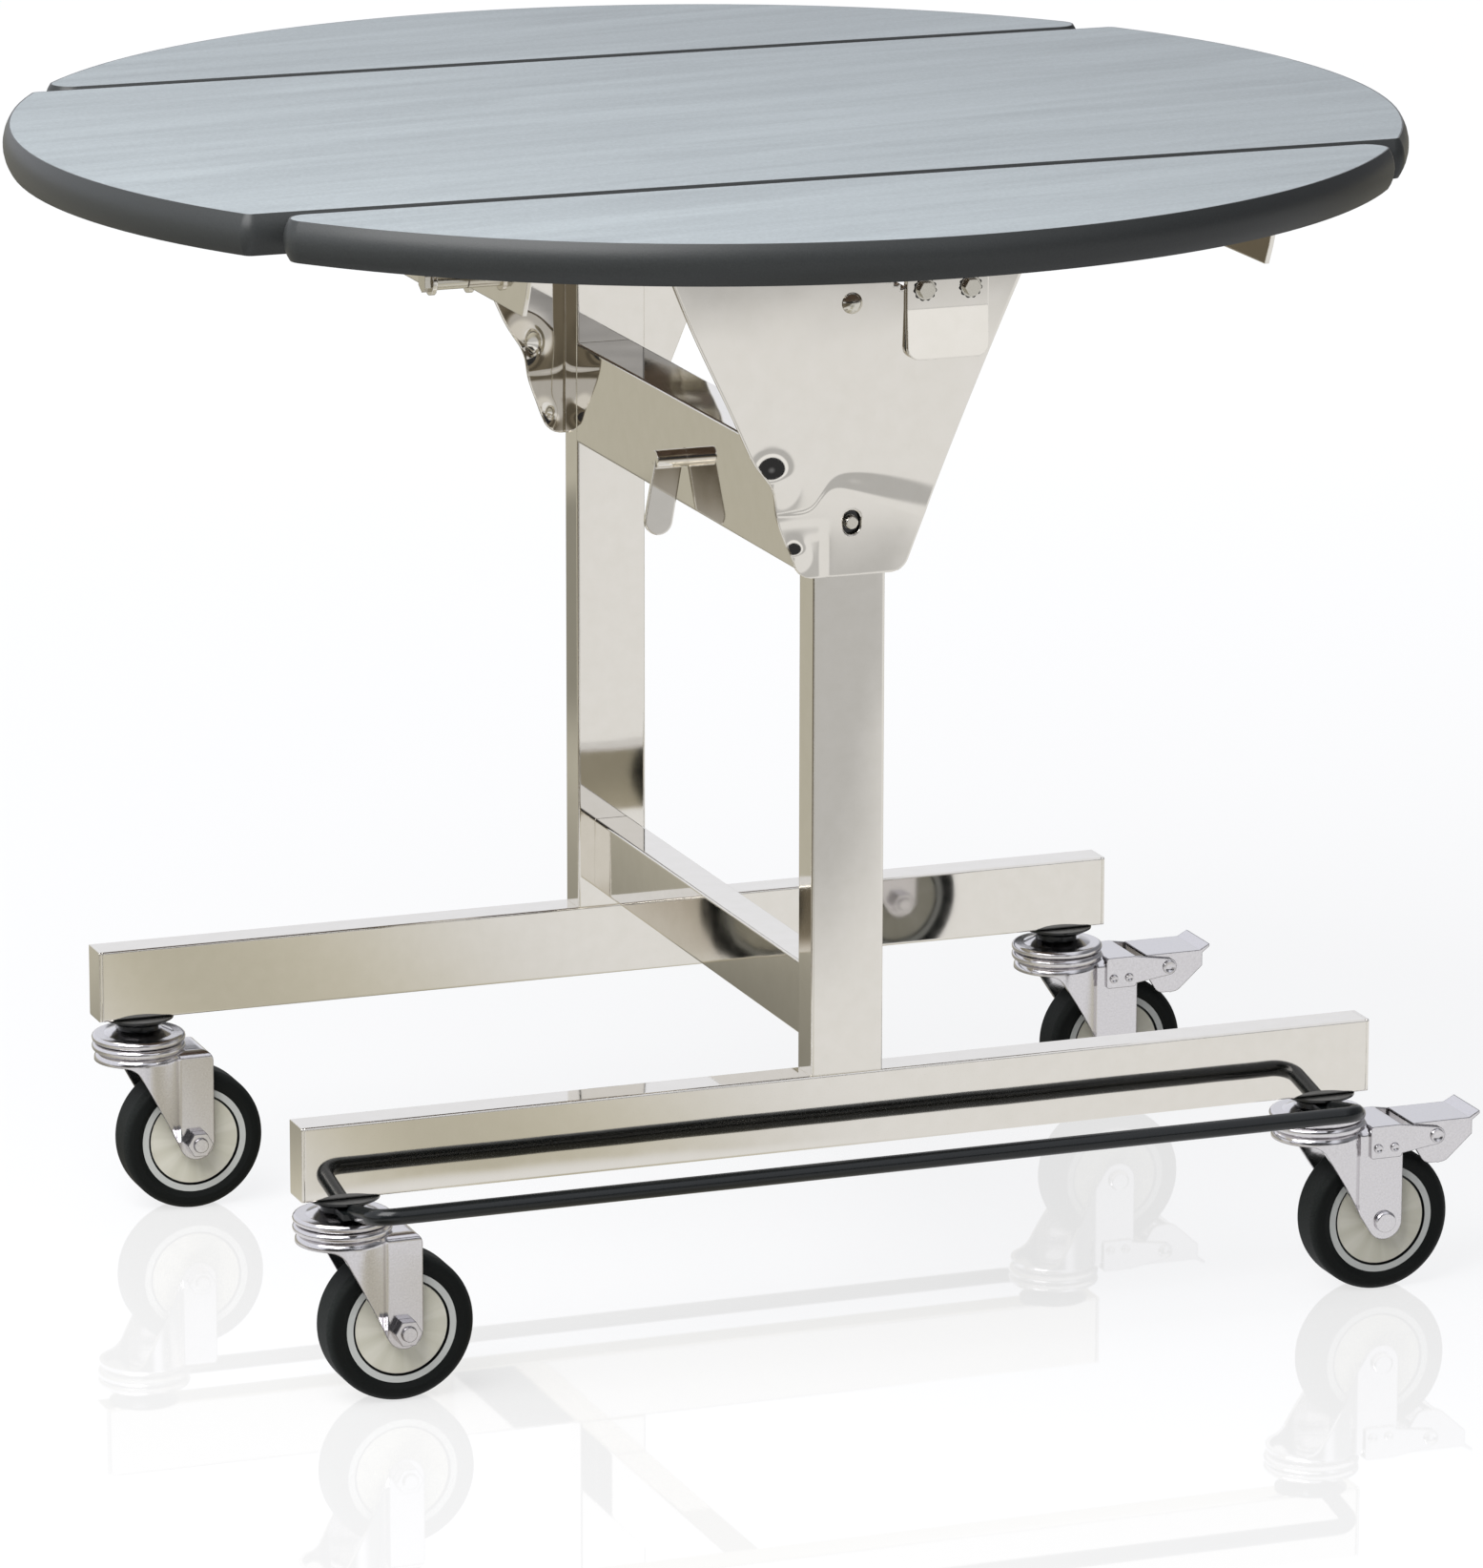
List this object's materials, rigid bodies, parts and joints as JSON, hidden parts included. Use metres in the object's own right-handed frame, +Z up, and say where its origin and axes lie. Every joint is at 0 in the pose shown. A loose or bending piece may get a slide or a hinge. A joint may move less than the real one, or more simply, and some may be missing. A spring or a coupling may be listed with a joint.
{
  "type": "room service trolley",
  "caption": "Round drop-leaf table top on a tilting head, carried by a polished tube base on swivel castors with brakes, for serving meals in a room.",
  "frame": {"origin": "on the floor under the centre of the round top", "axes": "+Z up, +X along the base rails towards the braked castors, +Y from the near rail to the far rail"},
  "size_m": [0.93, 0.9298, 0.7865],
  "materials": {
    "polished_steel": "mirror polished stainless sheet and tube",
    "bolt_steel": "bright turned steel",
    "laminate": "blue grey satin laminate with a fine mottle",
    "board_core": "particle board with a brown backing sheet",
    "edge_band": "charcoal moulded edge, satin",
    "black_rod": "gloss black coating",
    "black_washer": "gloss black moulding",
    "zinc_steel": "bright zinc plate on pressed steel",
    "wheel_disc": "cream moulded disc",
    "tyre_rubber": "black rubber, satin"
  },
  "bodies": {
    "base": {"near_base_rail": "polished_steel", "far_base_rail": "polished_steel", "tube_end_caps": "polished_steel", "near_post": "polished_steel", "far_post": "polished_steel", "upper_beam": "polished_steel", "lower_crossbar": "polished_steel", "near_bumper_rod": "black_rod", "far_bumper_rod": "black_rod", "castor_stems": "zinc_steel", "castor_upper_races": "zinc_steel", "castor_cone_washers": "black_washer", "tilt_pivot_bolts": "bolt_steel", "lock_guides": "bolt_steel", "lock_springs": "bolt_steel"},
    "top": {"centre_board_core": "board_core", "centre_board_laminate": "laminate", "centre_board_edge": "edge_band", "near_gusset_plate": "polished_steel", "far_gusset_plate": "polished_steel", "near_catch_plate": "polished_steel", "far_catch_plate": "polished_steel", "catch_plate_bolts": "bolt_steel", "leaf_hinge_brackets": "polished_steel", "leaf_hinge_bolts": "bolt_steel"},
    "near_leaf": {"near_leaf_core": "board_core", "near_leaf_laminate": "laminate", "near_leaf_edge": "edge_band", "near_leaf_arms": "polished_steel"},
    "far_leaf": {"far_leaf_core": "board_core", "far_leaf_laminate": "laminate", "far_leaf_edge": "edge_band", "far_leaf_arms": "polished_steel"},
    "lever": {"release_lever": "polished_steel"},
    "near_lock": {"near_lock_pin": "bolt_steel"},
    "far_lock": {"far_lock_pin": "bolt_steel"},
    "near_left_swivel": {"near_left_fork": "zinc_steel", "near_left_axle": "zinc_steel"},
    "near_left_wheel": {"near_left_wheel_hub": "wheel_disc", "near_left_tyre": "tyre_rubber"},
    "near_right_swivel": {"near_right_fork": "zinc_steel", "near_right_axle": "zinc_steel", "near_right_brake_bracket": "zinc_steel"},
    "near_right_wheel": {"near_right_wheel_hub": "wheel_disc", "near_right_tyre": "tyre_rubber"},
    "near_right_pedal": {"near_right_brake_pedal": "zinc_steel"},
    "far_left_swivel": {"far_left_fork": "zinc_steel", "far_left_axle": "zinc_steel"},
    "far_left_wheel": {"far_left_wheel_hub": "wheel_disc", "far_left_tyre": "tyre_rubber"},
    "far_right_swivel": {"far_right_fork": "zinc_steel", "far_right_axle": "zinc_steel", "far_right_brake_bracket": "zinc_steel"},
    "far_right_wheel": {"far_right_wheel_hub": "wheel_disc", "far_right_tyre": "tyre_rubber"},
    "far_right_pedal": {"far_right_brake_pedal": "zinc_steel"}
  },
  "joints": [
    {"name": "top_tilt", "type": "hinge", "parent": "base", "child": "top", "pos_m": [0.01, 0, 0.7035], "axis": [0, 1, 0], "range_deg": [0, 90]},
    {"name": "near_leaf_fold", "type": "hinge", "parent": "top", "child": "near_leaf", "pos_m": [0, -0.246, 0.738], "axis": [1, 0, 0], "range_deg": [0, 90]},
    {"name": "far_leaf_fold", "type": "hinge", "parent": "top", "child": "far_leaf", "pos_m": [0, 0.246, 0.738], "axis": [-1, 0, 0], "range_deg": [0, 90]},
    {"name": "lever_turn", "type": "hinge", "parent": "base", "child": "lever", "pos_m": [-0.025, 0, 0.556], "axis": [1, 0, 0], "range_deg": [0, 60]},
    {"name": "near_lock_slide", "type": "slide", "parent": "base", "child": "near_lock", "axis": [0, 1, 0], "range_m": [0, 0.012], "stiffness_N_per_m": 800},
    {"name": "far_lock_slide", "type": "slide", "parent": "base", "child": "far_lock", "axis": [0, -1, 0], "range_m": [0, 0.012], "stiffness_N_per_m": 800},
    {"name": "near_left_swivel_turn", "type": "hinge", "parent": "base", "child": "near_left_swivel", "pos_m": [-0.334, -0.2275, 0.125], "axis": [0, 0, 1], "continuous": true},
    {"name": "near_left_wheel_spin", "type": "hinge", "parent": "near_left_swivel", "child": "near_left_wheel", "pos_m": [-0.299, -0.2275, 0.05], "axis": [0, 1, 0], "continuous": true},
    {"name": "near_right_swivel_turn", "type": "hinge", "parent": "base", "child": "near_right_swivel", "pos_m": [0.354, -0.2275, 0.125], "axis": [0, 0, 1], "continuous": true},
    {"name": "near_right_wheel_spin", "type": "hinge", "parent": "near_right_swivel", "child": "near_right_wheel", "pos_m": [0.3955, -0.2275, 0.05], "axis": [0, 1, 0], "continuous": true},
    {"name": "near_right_pedal_press", "type": "hinge", "parent": "near_right_swivel", "child": "near_right_pedal", "pos_m": [0.432, -0.2275, 0.107], "axis": [0, 1, 0], "range_deg": [0, 10]},
    {"name": "far_left_swivel_turn", "type": "hinge", "parent": "base", "child": "far_left_swivel", "pos_m": [-0.334, 0.2275, 0.125], "axis": [0, 0, 1], "continuous": true},
    {"name": "far_left_wheel_spin", "type": "hinge", "parent": "far_left_swivel", "child": "far_left_wheel", "pos_m": [-0.299, 0.2275, 0.05], "axis": [0, 1, 0], "continuous": true},
    {"name": "far_right_swivel_turn", "type": "hinge", "parent": "base", "child": "far_right_swivel", "pos_m": [0.354, 0.2275, 0.125], "axis": [0, 0, 1], "continuous": true},
    {"name": "far_right_wheel_spin", "type": "hinge", "parent": "far_right_swivel", "child": "far_right_wheel", "pos_m": [0.3955, 0.2275, 0.05], "axis": [0, 1, 0], "continuous": true},
    {"name": "far_right_pedal_press", "type": "hinge", "parent": "far_right_swivel", "child": "far_right_pedal", "pos_m": [0.432, 0.2275, 0.107], "axis": [0, 1, 0], "range_deg": [0, 10]}
  ],
  "couplings": [
    {"joint": "lever_turn", "follows": "near_lock_slide", "rad_per_m": 87.27},
    {"joint": "far_lock_slide", "follows": "near_lock_slide", "ratio": 1}
  ]
}
